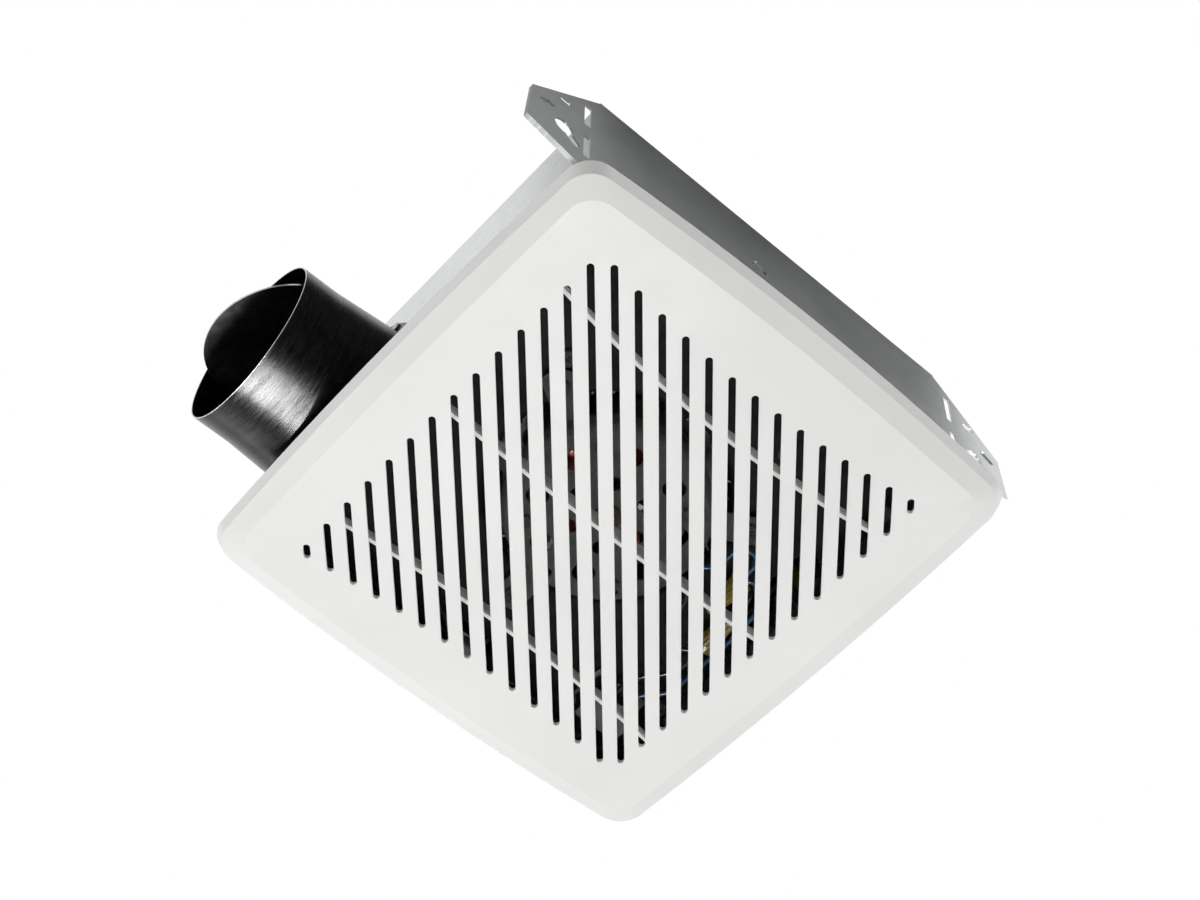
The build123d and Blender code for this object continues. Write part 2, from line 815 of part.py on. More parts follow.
arm_screw_places = [around_axis(arm_screw_radius, angle) for angle in arm_angles]
foot_radii = [spiral_radius(angle) + scroll_sheet + foot_reach / 2 for angle in foot_angles]
foot_places = [around_axis(radius, angle) for radius, angle in zip(foot_radii, foot_angles)]
receptacle_width = plug_width + 2 * running_gap + 2 * receptacle_wall
receptacle_length = plug_length + 2 * running_gap + 2 * receptacle_wall
with BuildPart() as blower_plate:
    with BuildSketch(level(plate_bottom)):
        Rectangle(inner_width - 2 * plate_gap, inner_length - 2 * plate_gap)
        with Locations((axis_x, axis_y)):
            Circle(inlet_radius + bell_radius, mode=Mode.SUBTRACT)
        with Locations((0, -spring_y), (0, spring_y)):
            SlotOverall(spring_slot_length, spring_slot_width, mode=Mode.SUBTRACT)
        with Locations((wiring_cut_x, wiring_cut_y)):
            Rectangle(wiring_cut_width, wiring_cut_length, mode=Mode.SUBTRACT)
        with Locations((plug_x, plug_y)):
            Rectangle(receptacle_width, receptacle_length, mode=Mode.SUBTRACT)
        with Locations(*plate_screw_places, *arm_screw_places, *foot_places):
            Circle(small_screw + screw_gap, mode=Mode.SUBTRACT)
    extrude(amount=plate_sheet)
    with BuildSketch(Plane((axis_x, axis_y, plate_bottom), x_dir=(1, 0, 0), z_dir=(0, -1, 0))):
        with BuildLine():
            outer = inlet_radius + bell_radius
            CenterArc((outer, bell_radius), bell_radius, 180, 90)
            CenterArc((outer, bell_radius), bell_radius - plate_sheet, 180, 90)
            Line((outer, 0), (outer, plate_sheet))
            Line((inlet_radius, bell_radius), (inlet_radius + plate_sheet, bell_radius))
        make_face()
    revolve(axis=Axis((axis_x, axis_y, 0), (0, 0, 1)))
blower_plate.part.label = "blower_plate"
export_step(blower_plate.part, "parts/blower_plate.step")


def screws_at(planes, length):
    """Pan-head screws seated on planes: the shank runs along each plane's normal."""
    for plane in planes:
        with BuildSketch(plane.offset(-small_head_height)) as head:
            Circle(small_head)
        extrude(head.sketch, amount=small_head_height)
        with BuildSketch(plane) as shank:
            Circle(small_screw)
        extrude(shank.sketch, amount=length)
        with BuildSketch(plane.offset(-small_head_height)) as cross:
            Rectangle(small_head, cross_width)
            Rectangle(cross_width, small_head)
        extrude(cross.sketch, amount=small_head_height / 2, mode=Mode.SUBTRACT)


def upright(places, height):
    """Planes that face up at a height over each place in plan."""
    return [Plane((x, y, height)) for x, y in places]


with BuildPart() as plate_screws:
    screws_at(upright(plate_screw_places, plate_bottom), plate_sheet + sheet + screw_point)
plate_screws.part.label = "plate_screws"
export_step(plate_screws.part, "parts/plate_screws.step")

# Scroll: a spiral wall with a top, open towards the duct, on three feet
spiral_step = (outlet_angle - tongue_angle) / (2 * spiral_steps)
spiral_angles = [tongue_angle + spiral_step * step for step in range(2 * spiral_steps + 1)]
spiral_points = [around_axis(spiral_radius(angle), angle) for angle in spiral_angles]


def volute_outline():
    """The scroll's inner face in plan: a spiral in arcs, then two straight walls to the duct."""
    with BuildLine() as border:
        for step in range(spiral_steps):
            ThreePointArc(*spiral_points[2 * step : 2 * step + 3])
        last = spiral_points[-1]
        tongue = spiral_points[0]
        Polyline(last, (-half_width, last[1]), (-half_width, tongue[1]), tongue)
    make_face(border.line)


with BuildPart() as blower_scroll:
    with BuildSketch(level(plate_top)) as volute:
        volute_outline()
        offset(amount=scroll_sheet, kind=Kind.INTERSECTION)
    extrude(amount=scroll_top - plate_top)
    with BuildSketch(level(plate_top)):
        volute_outline()
    extrude(amount=scroll_top - plate_top - scroll_sheet, mode=Mode.SUBTRACT)
    with BuildSketch(level(plate_top)):
        for angle, place in zip(foot_angles, foot_places):
            with Locations(Location((place[0], place[1], 0), (0, 0, angle))):
                Rectangle(foot_reach + scroll_sheet, foot_size)
        add(volute.sketch, mode=Mode.SUBTRACT)
    extrude(amount=scroll_sheet)
    with BuildSketch(level(plate_top)):
        with Locations(*foot_places):
            Circle(small_screw + running_gap)
    extrude(amount=scroll_sheet, mode=Mode.SUBTRACT)
    with BuildSketch(level(plate_top)):
        with Locations((-half_width, 0)):
            Rectangle(2 * (sheet + seat_gap), 2 * housing_length)
    extrude(amount=scroll_top, mode=Mode.SUBTRACT)
blower_scroll.part.label = "blower_scroll"
export_step(blower_scroll.part, "parts/blower_scroll.step")

with BuildPart() as scroll_screws:
    screws_at(upright(foot_places, plate_bottom), plate_sheet + scroll_sheet + screw_point)
scroll_screws.part.label = "scroll_screws"
export_step(scroll_screws.part, "parts/scroll_screws.step")


# Blower wheel: forward-curved blades between a ring and a back plate with its hub
blade_middle = (wheel_inner_radius + wheel_radius) / 2
blade_faces = (0, math.degrees(blade_sheet / blade_middle))
with BuildSketch() as wheel_blade:
    with BuildLine():
        faces = [
            ThreePointArc(
                polar(wheel_inner_radius, turn),
                polar(blade_middle, turn + blade_lean * blade_belly_share),
                polar(wheel_radius, turn + blade_lean),
            )
            for turn in blade_faces
        ]
        Line(faces[0] @ 0, faces[1] @ 0)
        Line(faces[0] @ 1, faces[1] @ 1)
    make_face()

with BuildPart() as blower_wheel:
    with BuildSketch(fan_level(wheel_bottom)):
        with PolarLocations(0, blade_count):
            add(wheel_blade.sketch)
    extrude(amount=wheel_top - wheel_plate - wheel_bottom)
    with BuildSketch(fan_level(wheel_bottom)):
        Circle(wheel_radius + ring_overhang)
        Circle(wheel_radius - ring_width, mode=Mode.SUBTRACT)
    extrude(amount=ring_height)
    with BuildSketch(fan_level(wheel_top - wheel_plate)):
        Circle(wheel_radius)
    extrude(amount=wheel_plate)
    with BuildSketch(fan_level(hub_bottom)):
        Circle(hub_radius)
    extrude(amount=hub_top - hub_bottom)
    with BuildSketch(fan_level(hub_bottom)):
        Circle(shaft_radius)
    extrude(amount=hub_top - hub_bottom, mode=Mode.SUBTRACT)
blower_wheel.part.label = "blower_wheel"
export_step(blower_wheel.part, "parts/blower_wheel.step")


def disc(bottom, top, radius, bore=0):
    """A disc or a ring on the fan's axis, between two heights."""
    with BuildSketch(fan_level(bottom)) as section:
        Circle(radius)
        if bore:
            Circle(bore, mode=Mode.SUBTRACT)
    extrude(section.sketch, amount=top - bottom)


with BuildPart() as shaft_clip:
    disc(hub_top, hub_top + clip_height, clip_radius, shaft_radius)
shaft_clip.part.label = "shaft_clip"
export_step(shaft_clip.part, "parts/shaft_clip.step")

# Motor cup: a perforated bowl that hangs from the blower plate by three arms
with BuildPart() as cup_inside:
    disc(cup_bottom + cup_sheet, cup_rim + overrun, cup_radius - cup_sheet)
    fillet(cup_inside.edges().group_by(Axis.Z)[0], cup_corner - cup_sheet)

bolt_places = [around_axis(bolt_circle, angle) for angle in bolt_angles]
with BuildPart() as motor_cup:
    disc(cup_bottom, cup_rim, cup_radius)
    fillet(motor_cup.edges().group_by(Axis.Z)[0], cup_corner)
    with BuildSketch(level(cup_rim - cup_sheet)):
        for angle in arm_angles:
            middle = around_axis((arm_start + arm_end) / 2, angle)
            with Locations(Location((middle[0], middle[1], 0), (0, 0, angle))):
                RectangleRounded(arm_end - arm_start, arm_width, arm_corner)
        with Locations(*arm_screw_places):
            Circle(small_screw + running_gap, mode=Mode.SUBTRACT)
    extrude(amount=cup_sheet)
    add(cup_inside.part, mode=Mode.SUBTRACT)
    with BuildSketch(fan_level(cup_bottom)):
        Circle(bush_radius)
        for circle, hole, count, first in cup_hole_rows:
            with PolarLocations(circle, count, first):
                Circle(hole)
        with PolarLocations(bolt_circle, len(bolt_angles), bolt_angles[0]):
            Circle(bolt_radius + running_gap)
    extrude(amount=cup_sheet, mode=Mode.SUBTRACT)
    with BuildSketch(wall_plane(axis_x + arm_start)):
        with Locations((axis_y, lead_level)):
            SlotOverall(lead_slot_width, lead_slot_height)
    extrude(amount=cup_radius, mode=Mode.SUBTRACT)
motor_cup.part.label = "motor_cup"
export_step(motor_cup.part, "parts/motor_cup.step")

with BuildPart() as cup_grommets:
    with BuildSketch(level(cup_rim)):
        with Locations(*arm_screw_places):
            Circle(grommet_radius)
            Circle(small_screw + running_gap, mode=Mode.SUBTRACT)
    extrude(amount=plate_bottom - cup_rim)
cup_grommets.part.label = "cup_grommets"
export_step(cup_grommets.part, "parts/cup_grommets.step")

with BuildPart() as cup_screws:
    arm_bottom = cup_rim - cup_sheet
    screws_at(upright(arm_screw_places, arm_bottom), plate_top + screw_point - arm_bottom)
cup_screws.part.label = "cup_screws"
export_step(cup_screws.part, "parts/cup_screws.step")

# Bearings: flanged bushes in the cup's face and in the bridge over the core
lower_flange = cup_bottom + cup_sheet
lower_top = lower_flange + bush_flange + bush_length - cup_sheet
with BuildPart() as lower_bearing:
    disc(cup_bottom - bush_flange, lower_top, bush_radius, shaft_radius + running_gap)
    disc(lower_flange, lower_flange + bush_flange, bush_flange_radius, shaft_radius + running_gap)
lower_bearing.part.label = "lower_bearing"
export_step(lower_bearing.part, "parts/lower_bearing.step")

with BuildPart() as upper_bearing:
    upper_top = bridge_bottom + bridge_sheet + bush_flange
    disc(bridge_bottom - bush_flange, upper_top, bush_radius, shaft_radius + running_gap)
    disc(bridge_bottom - bush_flange, bridge_bottom, bush_flange_radius, shaft_radius + running_gap)
upper_bearing.part.label = "upper_bearing"
export_step(upper_bearing.part, "parts/upper_bearing.step")

with BuildPart() as bearing_bridge:
    with BuildSketch(fan_level(bridge_bottom)):
        Circle(bridge_hub)
        for angle in bolt_angles:
            with Locations(Location((*polar(bolt_circle / 2, angle), 0), (0, 0, angle))):
                RectangleRounded(bolt_circle + bridge_arm, bridge_arm, bridge_corner)
        Circle(bush_radius, mode=Mode.SUBTRACT)
        with PolarLocations(bolt_circle, len(bolt_angles), bolt_angles[0]):
            Circle(bolt_radius + running_gap, mode=Mode.SUBTRACT)
    extrude(amount=bridge_sheet)
bearing_bridge.part.label = "bearing_bridge"
export_step(bearing_bridge.part, "parts/bearing_bridge.step")

# Stator: a ring with four poles, each with a bobbin and a coil
core_middle = (core_bottom + core_top) / 2
core_height = core_top - core_bottom
rotor_radius = pole_start - core_rotor_gap


def pole_plane(radius, angle):
    """The plane square to a pole at a radius, with its own Y along Z."""
    x, y = around_axis(radius, angle)
    return Plane((x, y, core_middle), x_dir=(*polar(1, angle + 90), 0), z_dir=(*polar(1, angle), 0))


with BuildPart() as stator_core:
    with BuildSketch(fan_level(core_bottom)):
        Circle(core_radius)
        Circle(core_bore_radius, mode=Mode.SUBTRACT)
        with PolarLocations(core_bore_radius / 2, len(pole_angles)):
            Rectangle(core_bore_radius + bobbin_wall, pole_width)
        Circle(pole_start, mode=Mode.SUBTRACT)
        with PolarLocations(bolt_circle, len(bolt_angles), bolt_angles[0]):
            Circle(bolt_radius + running_gap, mode=Mode.SUBTRACT)
    extrude(amount=core_height)
stator_core.part.label = "stator_core"
export_step(stator_core.part, "parts/stator_core.step")

tube_width = pole_width + 2 * running_gap + 2 * bobbin_wall
tube_height = core_height + 2 * running_gap + 2 * bobbin_wall
coil_width = 2 * bobbin_flange - 2 * coil_inset
coil_height = core_height + 2 * coil_overhang
with BuildPart() as coil_bobbins:
    for angle in pole_angles:
        with BuildSketch(pole_plane(bobbin_start, angle)):
            Rectangle(tube_width, tube_height)
        extrude(amount=bobbin_end - bobbin_start)
        with BuildSketch(pole_plane(bobbin_start, angle)):
            Rectangle(2 * bobbin_flange, coil_height + 2 * coil_inset)
        extrude(amount=bobbin_wall)
        with BuildSketch(pole_plane(bobbin_end - bobbin_wall, angle)):
            Rectangle(2 * bobbin_end_flange, coil_height)
        extrude(amount=bobbin_wall)
        with BuildSketch(pole_plane(bobbin_start, angle)):
            Rectangle(pole_width, core_height)
        extrude(amount=bobbin_end - bobbin_start, mode=Mode.SUBTRACT)
coil_bobbins.part.label = "coil_bobbins"
export_step(coil_bobbins.part, "parts/coil_bobbins.step")

with BuildPart() as field_coils:
    for angle in pole_angles:
        with BuildSketch(pole_plane(bobbin_start + bobbin_wall + coil_gap, angle)):
            RectangleRounded(coil_width, coil_height, coil_corner)
            Rectangle(tube_width + 2 * coil_gap, tube_height + 2 * coil_gap, mode=Mode.SUBTRACT)
        extrude(amount=bobbin_end - bobbin_start - 2 * bobbin_wall - 2 * coil_gap)
field_coils.part.label = "field_coils"
export_step(field_coils.part, "parts/field_coils.step")

with BuildPart() as motor_rotor:
    disc(rotor_bottom, rotor_top, rotor_radius, shaft_radius)
    disc(rotor_bottom - rotor_ring, rotor_bottom, rotor_ring_radius, shaft_radius)
    disc(rotor_top, rotor_top + rotor_ring, rotor_ring_radius, shaft_radius)
motor_rotor.part.label = "motor_rotor"
export_step(motor_rotor.part, "parts/motor_rotor.step")

with BuildPart() as motor_shaft:
    disc(shaft_bottom, shaft_top, shaft_radius)
    chamfer(motor_shaft.edges().filter_by(GeomType.CIRCLE), shaft_chamfer)
motor_shaft.part.label = "motor_shaft"
export_step(motor_shaft.part, "parts/motor_shaft.step")

with BuildPart() as thrust_washers:
    upper_low = rotor_top + rotor_ring
    disc(lower_top + washer_gap, rotor_bottom - rotor_ring, washer_radius, shaft_radius)
    disc(upper_low, bridge_bottom - bush_flange - washer_gap, washer_radius, shaft_radius)
thrust_washers.part.label = "thrust_washers"
export_step(thrust_washers.part, "parts/thrust_washers.step")

# The core's four bolts, with sleeves below and above it
bridge_top = bridge_bottom + bridge_sheet
with BuildPart() as motor_bolts:
    with BuildSketch(level(cup_bottom - bolt_head_height)):
        with Locations(*bolt_places):
            RegularPolygon(bolt_head, 6)
    extrude(amount=bolt_head_height)
    with BuildSketch(level(cup_bottom)):
        with Locations(*bolt_places):
            Circle(bolt_radius)
    extrude(amount=bridge_top + nut_height + bolt_radius - cup_bottom)
motor_bolts.part.label = "motor_bolts"
export_step(motor_bolts.part, "parts/motor_bolts.step")

with BuildPart() as spacer_sleeves:
    for bottom, top in ((lower_flange, core_bottom), (core_top, bridge_bottom)):
        with BuildSketch(level(bottom)):
            with Locations(*bolt_places):
                Circle(sleeve_radius)
                Circle(bolt_radius + running_gap, mode=Mode.SUBTRACT)
        extrude(amount=top - bottom)
spacer_sleeves.part.label = "spacer_sleeves"
export_step(spacer_sleeves.part, "parts/spacer_sleeves.step")

with BuildPart() as motor_nuts:
    with BuildSketch(level(bridge_top)):
        with Locations(*bolt_places):
            RegularPolygon(bolt_head, 6)
            Circle(bolt_radius, mode=Mode.SUBTRACT)
    extrude(amount=nut_height)
motor_nuts.part.label = "motor_nuts"
export_step(motor_nuts.part, "parts/motor_nuts.step")

# Receptacle in the blower plate, and the motor's plug pushed into it from below
receptacle_bottom = plate_bottom - receptacle_lip
receptacle_top = plate_top + receptacle_height
with BuildPart() as receptacle:
    with BuildSketch(level(receptacle_bottom)):
        with Locations((plug_x, plug_y)):
            Rectangle(receptacle_width + 2 * receptacle_lip, receptacle_length + 2 * receptacle_lip)
    extrude(amount=receptacle_lip)
    with BuildSketch(level(plate_bottom)):
        with Locations((plug_x, plug_y)):
            Rectangle(receptacle_width - 2 * running_gap, receptacle_length - 2 * running_gap)
    extrude(amount=plate_sheet + receptacle_height)
    with BuildSketch(level(receptacle_bottom)):
        with Locations((plug_x, plug_y)):
            Rectangle(plug_width + 2 * running_gap, plug_length + 2 * running_gap)
    extrude(amount=receptacle_top - receptacle_wall - receptacle_bottom, mode=Mode.SUBTRACT)
receptacle.part.label = "receptacle"
export_step(receptacle.part, "parts/receptacle.step")

with BuildPart() as motor_plug:
    with BuildSketch(level(plug_bottom)):
        with Locations((plug_x, plug_y)):
            RectangleRounded(plug_width + 2 * plug_lip, plug_length + 2 * plug_lip, plug_lip)
    extrude(amount=receptacle_bottom - plug_bottom)
    with BuildSketch(level(receptacle_bottom)):
        with Locations((plug_x, plug_y)):
            Rectangle(plug_width, plug_length)
    extrude(amount=receptacle_top - receptacle_wall - seat_gap - receptacle_bottom)
motor_plug.part.label = "motor_plug"
export_step(motor_plug.part, "parts/motor_plug.step")

with BuildPart() as cable_bushing:
    bushing_axis = wall_plane(half_width).location * Location((knockout_y, knockout_z, 0))
    with BuildSketch(Plane(bushing_axis)):
        Circle(knockout_radius + bushing_rim)
    extrude(amount=bushing_flange)
    with BuildSketch(Plane(bushing_axis)):
        Circle(knockout_radius - running_gap)
    extrude(amount=-bushing_reach)
    with BuildSketch(Plane(bushing_axis).offset(-sheet - running_gap)):
        Circle(knockout_radius + bushing_barb)
    extrude(amount=-bushing_flange)
    with BuildSketch(Plane(bushing_axis).offset(bushing_flange)):
        Circle(bushing_bore)
    extrude(amount=-bushing_flange - bushing_reach, mode=Mode.SUBTRACT)
cable_bushing.part.label = "cable_bushing"
export_step(cable_bushing.part, "parts/cable_bushing.step")

# Wire nuts: each mouth holds its leads side by side, off the nut's axis
with BuildPart() as wire_nuts:
    for mouth, direction in nut_mouths:
        nut_plane = Plane(mouth, z_dir=direction)
        with BuildSketch(nut_plane):
            Circle(nut_radius)
        with BuildSketch(nut_plane.offset(nut_length)):
            Circle(nut_tip_radius)
        loft()
        with BuildSketch(nut_plane):
            Circle(2 * lead_radius + 2 * lead_gap)
        extrude(amount=nut_depth, mode=Mode.SUBTRACT)
wire_nuts.part.label = "wire_nuts"
export_step(wire_nuts.part, "parts/wire_nuts.step")

# Ground screw and the ring end of its lead, on the wall beside the cable entry
with BuildPart() as ground_screw:
    seat = Plane((half_width - 2 * sheet, ground_y, ground_z), x_dir=(0, 1, 0), z_dir=(1, 0, 0))
    screws_at([seat], 2 * sheet + screw_point)
ground_screw.part.label = "ground_screw"
export_step(ground_screw.part, "parts/ground_screw.step")


def run_lead(name, points, bends):
    """A round lead along straight runs with round bends, checked against its own length."""
    with BuildLine() as route:
        FilletPolyline(*points, radius=bends)
    with BuildSketch(route.line ^ 0) as section:
        Circle(lead_radius)
    sweep(section.sketch, path=route.line)
    length = sum(edge.length for edge in route.edges())
    print(name, "bends", bends, "section x length", math.pi * lead_radius**2 * length)


for name, (points, bends) in leads.items():
    with BuildPart() as lead:
        run_lead(name, points, bends)
        print(name, "volume", lead.part.volume)
        if name == "ground_lead":
            with BuildSketch(wall_plane(half_width - 2 * sheet)):
                with Locations((ground_y, ground_z)):
                    Circle(ring_end_radius)
                    Circle(small_screw + running_gap, mode=Mode.SUBTRACT)
            extrude(amount=sheet)
    lead.part.label = name
    export_step(lead.part, f"parts/{name}.step")

# Torsion springs: a pin through the cheeks, a coil, and two legs whose end rings turn on the pin
pin_half = cheek_place + cheek_sheet / 2 + pin_overhang
with BuildPart() as spring_pins:
    for side in (-1, 1):
        with BuildSketch(side_plane(side * spring_y)):
            with Locations((0, spring_z)):
                Circle(spring_pin_radius)
        extrude(amount=pin_half, both=True)
spring_pins.part.label = "spring_pins"
export_step(spring_pins.part, "parts/spring_pins.step")

with BuildPart() as spring_coils:
    for side in (-1, 1):
        with BuildSketch(side_plane(side * spring_y)):
            with Locations((0, spring_z)):
                Circle(spring_mean_radius + spring_wire)
                Circle(spring_pin_radius + spring_pin_gap, mode=Mode.SUBTRACT)
        extrude(amount=spring_coil_length / 2, both=True)
spring_coils.part.label = "spring_coils"
export_step(spring_coils.part, "parts/spring_coils.step")

ring_offset = spring_coil_length / 2 + turn_gap + spring_ring_half
for row_name, row in (("south", -1), ("north", 1)):
    for side_name, side in (("west", -1), ("east", 1)):
        ring_y = row * spring_y + side * ring_offset
        up = (side * math.sin(math.radians(spring_leg_angle)), math.cos(math.radians(spring_leg_angle)))
        out = (side * up[1], -side * up[0])
        start = (spring_mean_radius * out[0], spring_z + spring_mean_radius * out[1])
        end = (start[0] + spring_leg_length * up[0], start[1] + spring_leg_length * up[1])
        hook = (end[0] + spring_hook * out[0], end[1] + spring_hook * out[1])
        with BuildPart() as spring_leg:
            with BuildSketch(side_plane(ring_y)):
                with Locations((0, spring_z)):
                    Circle(spring_ring_radius)
                    Circle(spring_pin_radius + spring_pin_gap, mode=Mode.SUBTRACT)
            extrude(amount=spring_ring_half, both=True)
            with BuildLine() as leg_line:
                FilletPolyline(*[(x, ring_y, z) for x, z in (start, end, hook)], radius=spring_hook_bend)
            with BuildSketch(leg_line.line ^ 0):
                Circle(spring_wire)
            sweep()
        leg_name = f"spring_leg_{row_name}_{side_name}"
        spring_leg.part.label = leg_name
        export_step(spring_leg.part, f"parts/{leg_name}.step")
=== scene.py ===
import json
import math

import bmesh
import bpy
from mathutils import Matrix, Quaternion, Vector


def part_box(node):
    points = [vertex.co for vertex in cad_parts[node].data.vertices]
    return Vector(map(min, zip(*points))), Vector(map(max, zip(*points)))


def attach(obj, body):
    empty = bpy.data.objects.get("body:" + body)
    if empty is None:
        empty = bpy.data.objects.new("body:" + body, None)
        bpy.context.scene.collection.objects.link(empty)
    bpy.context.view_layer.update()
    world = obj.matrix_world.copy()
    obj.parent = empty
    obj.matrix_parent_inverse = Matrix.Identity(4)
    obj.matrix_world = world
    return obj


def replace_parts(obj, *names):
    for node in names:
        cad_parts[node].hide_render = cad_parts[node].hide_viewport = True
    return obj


# Sizes are in metres, in the CAD's own frame: X and Y along the grille's sides, Z up into the
# ceiling, the origin in the middle of the grille's rim.

# Camera, fitted to the photograph of 1200 by 900 pixels
photo_width = 1200
sensor_width = 36.0
focal_pixels = 2558.1
camera_turn = (0.5456787, -0.1955196, 0.7105322)
camera_shift = (0.0028352, 0.0274851, 1.0668922)

# Welding and bevels, by kind of piece, and the angles between faces from which an edge is rounded
weld_distance = 0.000002
sheet_bevel = 0.00018
moulded_bevel = 0.0004
grille_bevel = 0.0006
sharp_angle = math.radians(32)
crease_angle = math.radians(14)

# Bright edges: the depth of the band at the collar's mouth, bare metal and partly a painted highlight along
# its rolled rim, and the slant of the flap's rim, whose cut edge is bare metal
rim_band = 0.0007
edge_slant = 0.5

# Torsion springs' coils
spring_wire = 0.0008
coil_width = 0.0034
coil_turns = 1.0
coil_steps = 32

# Wire nuts: each mouth and the way to its tip. The stations along a nut are a share of its length
# with the depth of the ribs there.
nut_mouths = (
    ((0.070, -0.008, 0.010), (0, 1, 0)),
    ((0.081, 0.028, 0.010), (0, -1, 0)),
    ((0.087, 0.002, 0.040), (0, 0, 1)),
    ((0.091, -0.012, 0.040), (0, 0, 1)),
    ((0.090, 0.016, 0.072), (0, -1, 0)),
)
nut_radius = 0.0052
nut_tip = 0.0028
nut_length = 0.020
nut_bore = 0.0023
nut_bore_depth = 0.012
nut_ribs = 12
nut_sides = 48
nut_stations = ((0, 0), (0.15, 0), (0.17, 0.0005), (0.80, 0.0005), (0.92, 0.0001), (1.0, 0))

# Field windings, round poles that stand out from the motor's middle
pole_centre = (0.003, 0.003, 0.032)
winding_turns = 11
winding_start = 0.0176
winding_pitch = 0.00104
winding_wire = 0.00052
winding_half_width = 0.01055
winding_half_height = 0.01455
winding_corner = 0.0040
winding_corner_steps = 6

# Studio
floor_height = -1.35
floor_half = 12.0
floor_glow = 0.7
room_glow = 0.30

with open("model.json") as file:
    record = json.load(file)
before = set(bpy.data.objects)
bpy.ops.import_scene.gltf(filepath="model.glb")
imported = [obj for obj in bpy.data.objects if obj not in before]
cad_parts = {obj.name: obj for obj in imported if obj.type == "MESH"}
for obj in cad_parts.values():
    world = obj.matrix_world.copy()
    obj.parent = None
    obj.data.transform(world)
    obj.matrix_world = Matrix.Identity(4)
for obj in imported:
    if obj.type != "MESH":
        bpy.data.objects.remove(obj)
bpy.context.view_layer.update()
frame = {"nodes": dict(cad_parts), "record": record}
nodes = frame["nodes"]


class Value:
    """A shader socket that can be used in plain arithmetic."""

    def __init__(self, material, socket):
        self.material = material
        self.socket = socket

    def math(self, operation, *values):
        return self.material.node("ShaderNodeMath", {"operation": operation}, values)

    def __add__(self, other):
        return self.math("ADD", self, other)

    def __sub__(self, other):
        return self.math("SUBTRACT", self, other)

    def __mul__(self, other):
        return self.math("MULTIPLY", self, other)

    def out(self, name):
        """Another output of the same node."""
        return Value(self.material, self.socket.node.outputs[name])


class Shader:
    """The node tree of a material or a world, built by small steps."""

    def __init__(self, data):
        self.data = data
        self.data.use_nodes = True
        self.tree = data.node_tree
        self.tree.nodes.clear()

    def node(self, kind, settings=None, values=(), output=0):
        """Adds a node: its settings, then its sockets by place or by name."""
        made = self.tree.nodes.new(kind)
        for key, setting in (settings or {}).items():
            setattr(made, key, setting)
        pairs = values.items() if isinstance(values, dict) else enumerate(values)
        for key, value in pairs:
            socket = made.inputs[key]
            if isinstance(value, Value):
                self.tree.links.new(value.socket, socket)
            else:
                socket.default_value = value
        return Value(self, made.outputs[output]) if made.outputs else None

    def place(self):
        """The surface point in metres, in the object's own frame."""
        return self.node("ShaderNodeTexCoord", output="Object")

    def stretched(self, scale):
        """The surface point scaled along each axis."""
        return self.node("ShaderNodeVectorMath", {"operation": "MULTIPLY"}, (self.place(), scale))

    def noise(self, vector, scale=1.0, detail=3.0, roughness=0.5):
        """Noise from 0 to 1."""
        values = {"Vector": vector, "Scale": scale, "Detail": detail, "Roughness": roughness}
        return self.node("ShaderNodeTexNoise", values=values)

    def split_place(self):
        """The surface point as X, with its Y and Z as the node's other outputs."""
        return self.node("ShaderNodeSeparateXYZ", values=(self.place(),))

    def ramp(self, factor, low, high, start=0.0, end=1.0):
        """A blend of two values as factor runs from low to high."""
        values = {"Value": factor, "From Min": low, "From Max": high, "To Min": start, "To Max": end}
        return self.node("ShaderNodeMapRange", values=values)

    def mix(self, factor, first, second):
        """A blend of two colours."""
        return self.node("ShaderNodeMix", {"data_type": "RGBA"}, {0: factor, 6: first, 7: second}, output=2)

    def evenly(self, value):
        """A grey of the given value."""
        return self.node("ShaderNodeCombineColor", values=(value, value, value))

    def bump(self, height, strength, distance):
        """A normal from a height."""
        values = {"Height": height, "Strength": strength, "Distance": distance}
        return self.node("ShaderNodeBump", values=values)

    def surface(self, **sockets):
        """The principled shader with its sockets, named with underscores for spaces."""
        values = {name.replace("_", " "): value for name, value in sockets.items()}
        principled = self.node("ShaderNodeBsdfPrincipled", values=values)
        self.node("ShaderNodeOutputMaterial", values=(principled,))
        return self.data


def paint(name):
    """An empty material to build on."""
    return Shader(bpy.data.materials.new(name))


def grey(value):
    return (value, value, value, 1)


def moulded_white():
    """Satin white plastic with a faint pebble grain and a slight warm unevenness."""
    m = paint("moulded_white")
    place = m.place()
    grain = m.noise(place, 2600, 2)
    broad = m.noise(place, 14, 3)
    colour = m.mix(m.ramp(broad, 0.3, 0.7), (0.80, 0.795, 0.785, 1), (0.84, 0.837, 0.828, 1))
    rough = m.ramp(m.noise(place, 60, 3), 0.3, 0.7, 0.40, 0.50)
    normal = m.bump(grain, 0.10, 0.00006)
    return m.surface(Base_Color=colour, Roughness=rough, Normal=normal, Specular_IOR_Level=0.05)


def galvanised():
    """Zinc-coated sheet: rolling lines, soft spangle and a few duller patches."""
    m = paint("galvanised")
    place = m.place()
    spangle = m.node("ShaderNodeTexVoronoi", values={"Vector": place, "Scale": 210.0}, output="Color")
    flecks = m.noise(spangle, 3.0, 0)
    lines = m.noise(m.stretched((60, 60, 2400)), 1.0, 3)
    patches = m.noise(place, 22, 4)
    tone = m.ramp(flecks * 0.35 + lines * 0.25 + patches * 0.4, 0.3, 0.7)
    colour = m.mix(tone, (0.60, 0.62, 0.625, 1), (0.70, 0.715, 0.72, 1))
    rough = m.ramp(patches * 0.5 + lines * 0.5, 0.3, 0.7, 0.16, 0.26)
    normal = m.bump(lines * 0.6 + flecks * 0.4, 0.06, 0.00008)
    return m.surface(Base_Color=colour, Metallic=0.92, Roughness=rough, Normal=normal)


